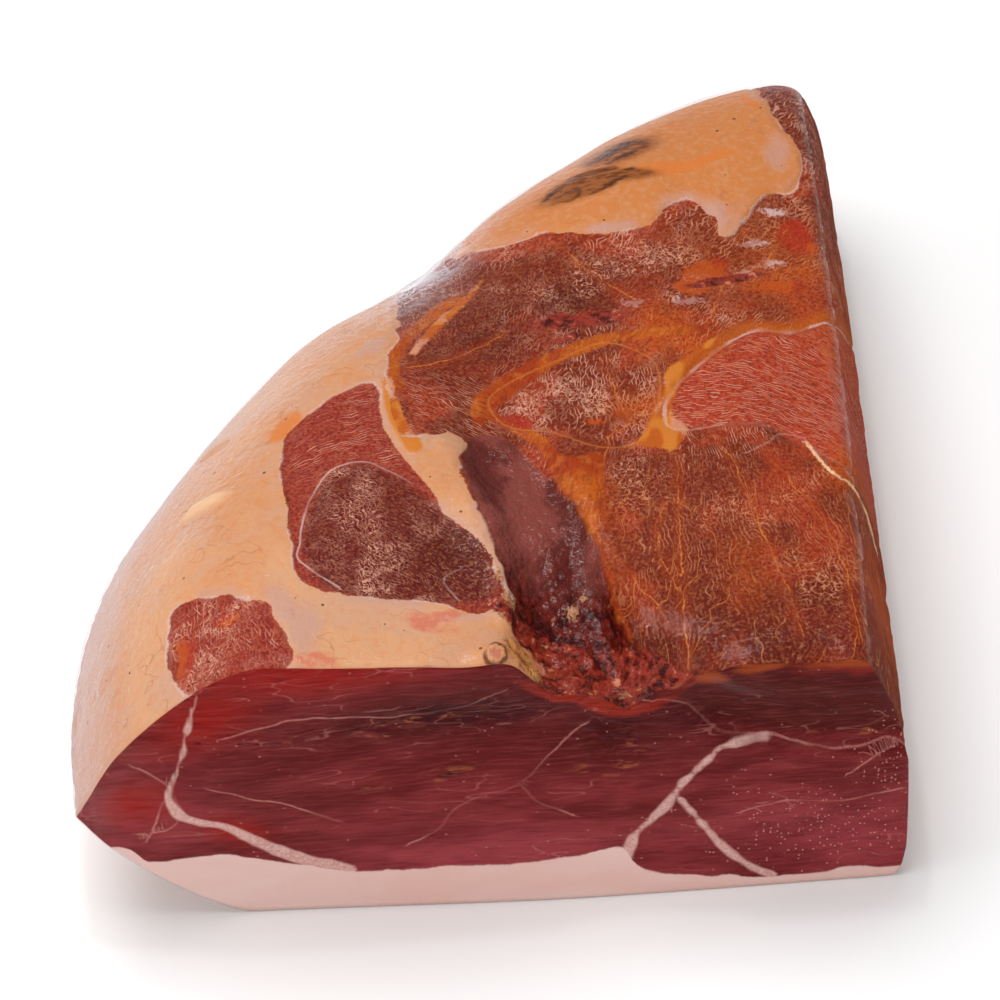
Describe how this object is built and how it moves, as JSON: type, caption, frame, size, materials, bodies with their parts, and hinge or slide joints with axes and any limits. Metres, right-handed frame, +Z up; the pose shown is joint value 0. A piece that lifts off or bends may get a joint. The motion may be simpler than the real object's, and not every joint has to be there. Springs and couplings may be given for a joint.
{
  "type": "cured ham",
  "caption": "Boned piece of dry-cured ham in skin-tight clear film: flat clean cut at one end, rounded fat flank, narrowing to the shank end.",
  "frame": {"origin": "centre of the bounding box in plan, at the level of the table", "axes": "+Z up from the table, +Y from the clean cut towards the shank end, +X towards the flat side"},
  "size_m": [0.2216, 0.2398, 0.1025],
  "materials": {
    "ham": "moist cured meat and fat under tight clear film"
  },
  "bodies": {
    "root": {"ham": "ham"}
  },
  "joints": []
}
